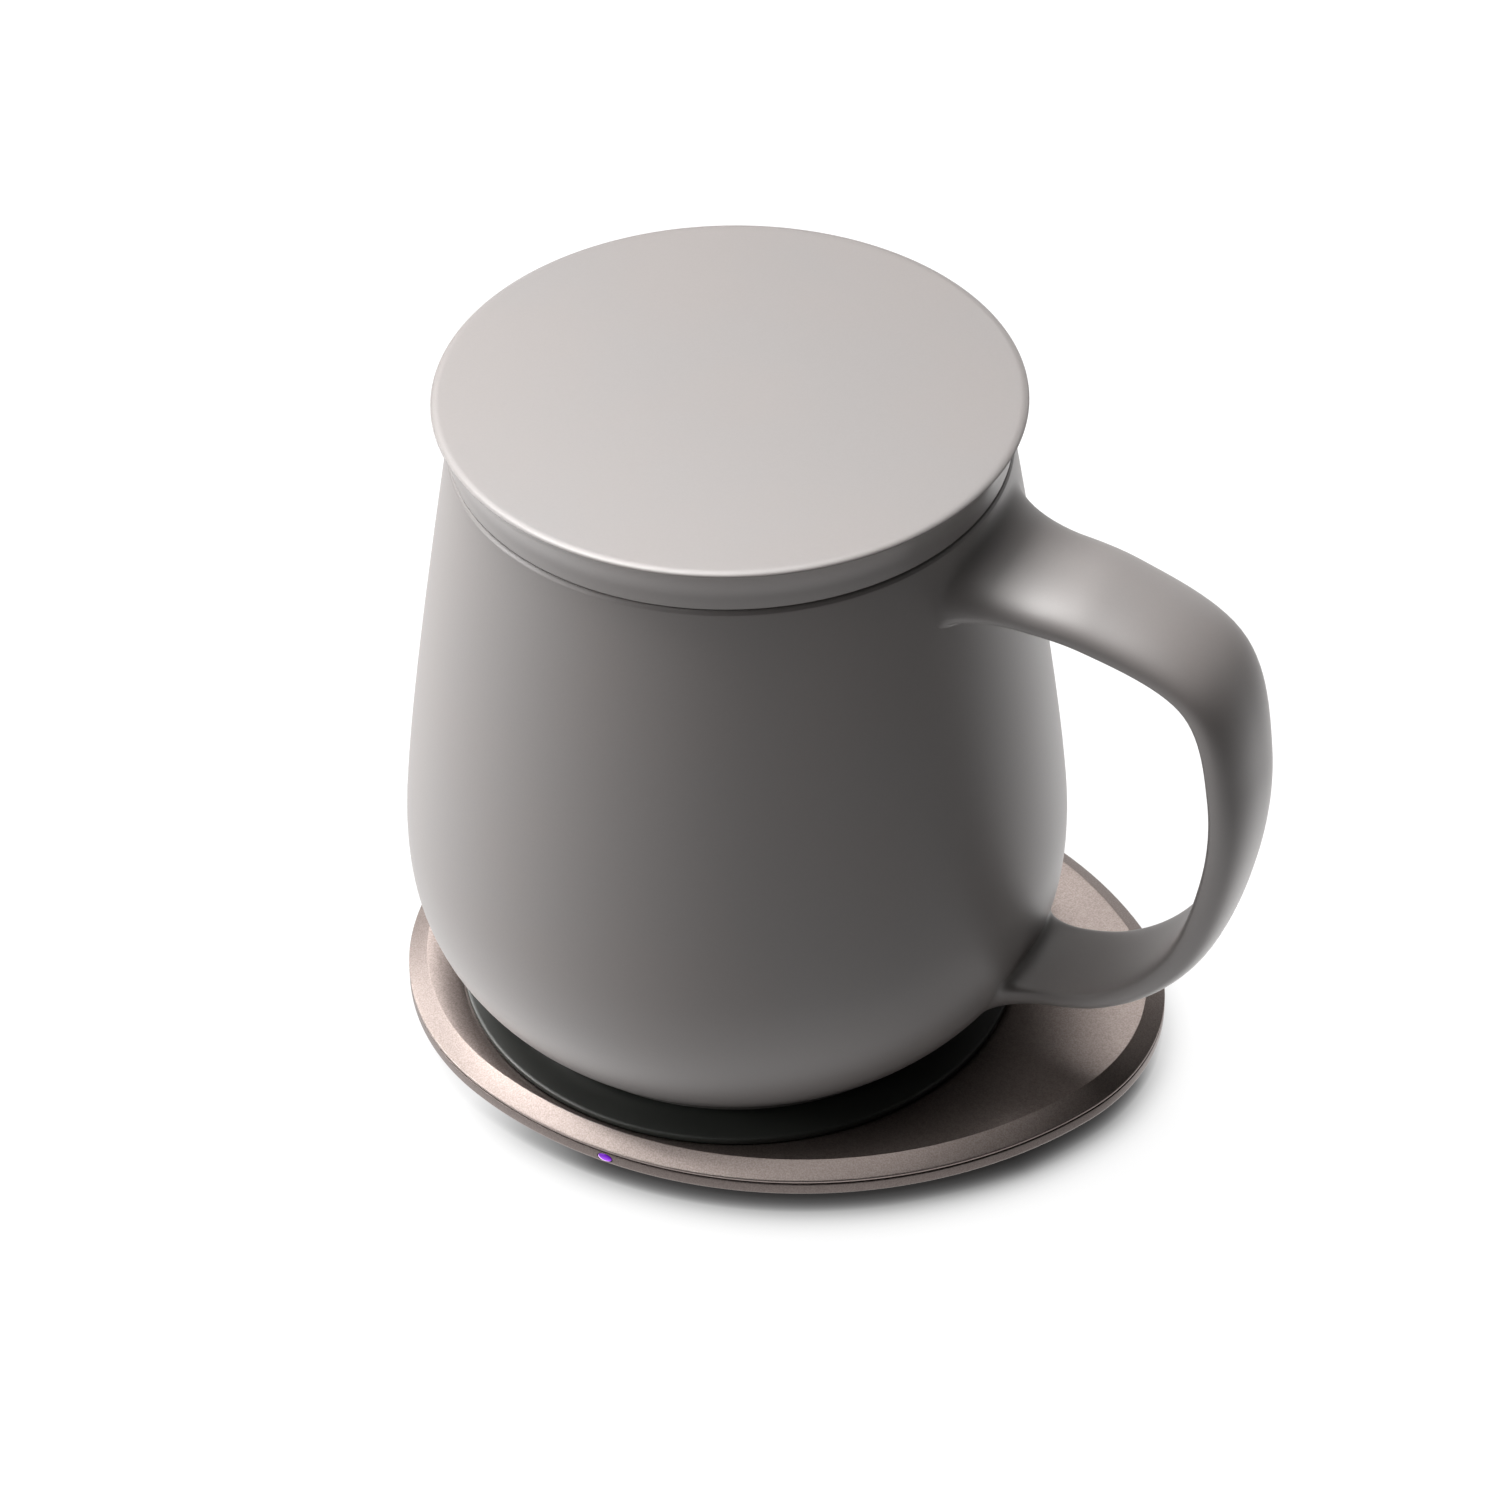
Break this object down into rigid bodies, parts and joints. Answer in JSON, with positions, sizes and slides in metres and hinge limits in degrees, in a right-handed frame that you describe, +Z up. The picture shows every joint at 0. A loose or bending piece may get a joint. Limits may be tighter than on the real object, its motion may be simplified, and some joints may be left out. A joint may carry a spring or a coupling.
{
  "type": "self heating mug with lid and charging coaster",
  "caption": "Ceramic mug with a strap handle and a flared flat lid, standing on a low egg shaped metal charging coaster with a raised dark disc and a small light",
  "frame": {"origin": "on the mug's axis, at the height of the table under the coaster's pad", "axes": "+Z up along the mug's axis; +X along the coaster's long axis towards its narrow end, near which the handle points; +Y to the side with the power inlet, away from the light"},
  "size_m": [0.1287, 0.0958, 0.1105],
  "materials": {
    "mug_ceramic": "warm grey satin glaze",
    "lid_ceramic": "warm grey satin glaze, as the mug",
    "shell_metal": "bead blasted, rose taupe anodised",
    "disc": "satin near black, slightly green",
    "silicone": "soft matte grey silicone",
    "polymer": "fine matte black",
    "steel": "plain steel",
    "board": "green solder mask",
    "chips": "black moulded parts",
    "light_chip": "white body",
    "lens": "light guide, lit violet",
    "ferrite": "dull dark grey sheet",
    "copper": "enamelled copper wire",
    "sensor": "amber glass bead",
    "heater": "amber film over etched foil",
    "insulation": "pale fibre board"
  },
  "bodies": {
    "coaster": {"base_pad": "silicone", "coaster_tray": "shell_metal", "tray_screw_back": "steel", "tray_screw_left": "steel", "tray_screw_right": "steel", "coaster_board": "board", "power_inductor": "chips", "controller_chip": "chips", "bridge_chip_left": "chips", "bridge_chip_right": "chips", "capacitor_outer_left": "chips", "capacitor_outer_right": "chips", "capacitor_tip_left": "chips", "capacitor_tip_right": "chips", "usb_c_shell": "steel", "usb_c_tongue": "polymer", "status_led": "light_chip", "led_lens": "lens", "coil_carrier": "polymer", "transmitter_ferrite": "ferrite", "transmitter_coil": "copper", "coaster_thermistor": "sensor", "charging_disc": "disc", "top_plate": "shell_metal"},
    "mug": {"mug_body": "mug_ceramic", "heater_plate": "heater", "mug_thermistor": "sensor", "insulation_disc": "insulation", "mug_board": "board", "rectifier_chip": "chips", "storage_capacitor_left": "chips", "mug_controller_chip": "chips", "tuning_capacitor": "chips", "storage_capacitor_right": "chips", "receiver_ferrite": "ferrite", "receiver_coil": "copper", "base_cap": "polymer", "base_gasket": "silicone"},
    "lid": {"lid_cap": "lid_ceramic", "lid_seal": "silicone"}
  },
  "joints": [
    {"name": "mug_lift", "type": "slide", "parent": "coaster", "child": "mug", "axis": [0, 0, 1], "range_m": [0, 0.12]},
    {"name": "lid_lift", "type": "slide", "parent": "mug", "child": "lid", "axis": [0, 0, 1], "range_m": [0, 0.06]}
  ]
}
